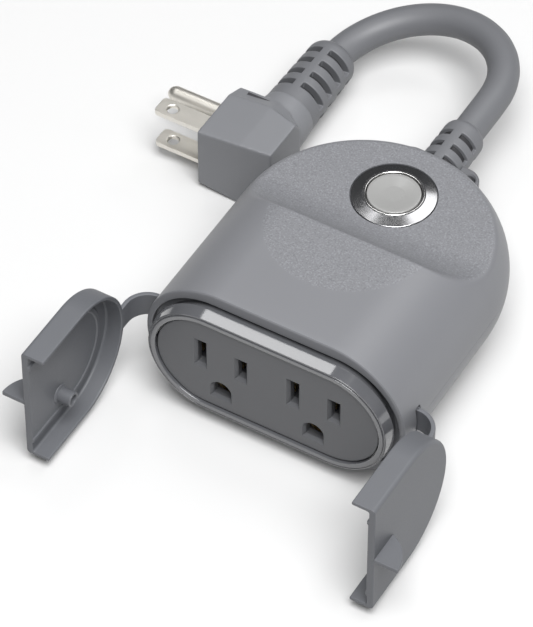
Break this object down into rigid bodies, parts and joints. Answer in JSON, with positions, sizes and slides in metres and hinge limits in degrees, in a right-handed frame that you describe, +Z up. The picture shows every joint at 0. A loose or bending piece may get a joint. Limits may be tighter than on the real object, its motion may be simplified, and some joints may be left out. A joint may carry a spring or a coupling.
{
  "type": "outdoor smart plug",
  "caption": "Outdoor smart plug with switched outlets under rubber flip covers, a push button on a lowered deck, and a short cord with a right-angle grounded plug.",
  "frame": {"origin": "on the table plane under the middle of the housing with its covers standing open, at the middle of the bounding box without the cord and its plug", "axes": "+Z up, the outlets face -Y, the cord leaves towards +Y, the plug lies on the -X side"},
  "size_m": [0.1495, 0.1969, 0.0468],
  "materials": {
    "housing": "fine satin",
    "collar": "gloss",
    "face": "satin",
    "soft_seal": "matt",
    "screw_steel": "zinc plated",
    "contact_metal": "bright",
    "carrier": "moulded",
    "bezel": "satin",
    "rim": "polished",
    "cap": "satin",
    "board": "solder mask",
    "light": "clear",
    "can": "drawn",
    "ceramic": "glazed",
    "wire_black": "smooth",
    "wire_white": "smooth",
    "wire_green": "smooth",
    "cover_rubber": "matt",
    "cord_rubber": "matt",
    "blade_metal": "nickel silver"
  },
  "bodies": {
    "housing": {"upper_shell": "housing", "lower_shell": "housing", "shell_seal": "soft_seal", "case_screws": "screw_steel", "outlet_collar": "collar", "outlet_face": "face", "collar_seal": "soft_seal", "contact_carrier": "carrier", "hot_contact_left": "contact_metal", "hot_contact_right": "contact_metal", "neutral_contacts": "contact_metal", "ground_contacts": "contact_metal", "button_bezel": "bezel", "bezel_rim": "rim", "button_seal": "soft_seal", "button_board": "board", "button_board_screws": "screw_steel", "tact_switch": "carrier", "status_led": "light", "main_board": "board", "board_screws": "screw_steel", "relay_left": "carrier", "relay_right": "carrier", "power_converter": "carrier", "bulk_capacitor": "can", "fuse": "ceramic", "varistor": "ceramic", "wifi_board": "board", "wifi_shield": "can", "terminal_block": "carrier", "hot_wire": "wire_black", "neutral_wire": "wire_white", "ground_wire": "wire_green", "hang_tab": "housing", "body_strain_relief": "cord_rubber", "cord_clamp": "carrier", "clamp_screws": "screw_steel", "left_strap_anchor": "cover_rubber", "right_strap_anchor": "cover_rubber", "power_cord": "cord_rubber", "plug_strain_relief": "cord_rubber", "plug_body": "cord_rubber", "plug_bridge": "carrier", "hot_blade": "blade_metal", "neutral_blade": "blade_metal", "ground_pin": "blade_metal"},
    "left_flap": {"left_cover": "cover_rubber", "left_strap": "cover_rubber"},
    "right_flap": {"right_cover": "cover_rubber", "right_strap": "cover_rubber"},
    "button": {"button_cap": "cap", "button_stem": "carrier", "switch_plunger": "carrier"}
  },
  "joints": [
    {"name": "left_cover_hinge", "type": "hinge", "parent": "housing", "child": "left_flap", "pos_m": [-0.0439, -0.0333, 0.0234], "axis": [0, 0, 1], "range_deg": [-45, 90], "stiffness_Nm_per_rad": 0.006, "deforming": ["left_strap"]},
    {"name": "right_cover_hinge", "type": "hinge", "parent": "housing", "child": "right_flap", "pos_m": [0.0439, -0.0333, 0.0234], "axis": [0, 0, 1], "range_deg": [-90, 45], "stiffness_Nm_per_rad": 0.006, "deforming": ["right_strap"]},
    {"name": "button_press", "type": "slide", "parent": "housing", "child": "button", "axis": [0, 0, -1], "range_m": [0, 0.0009], "stiffness_N_per_m": 1500}
  ]
}
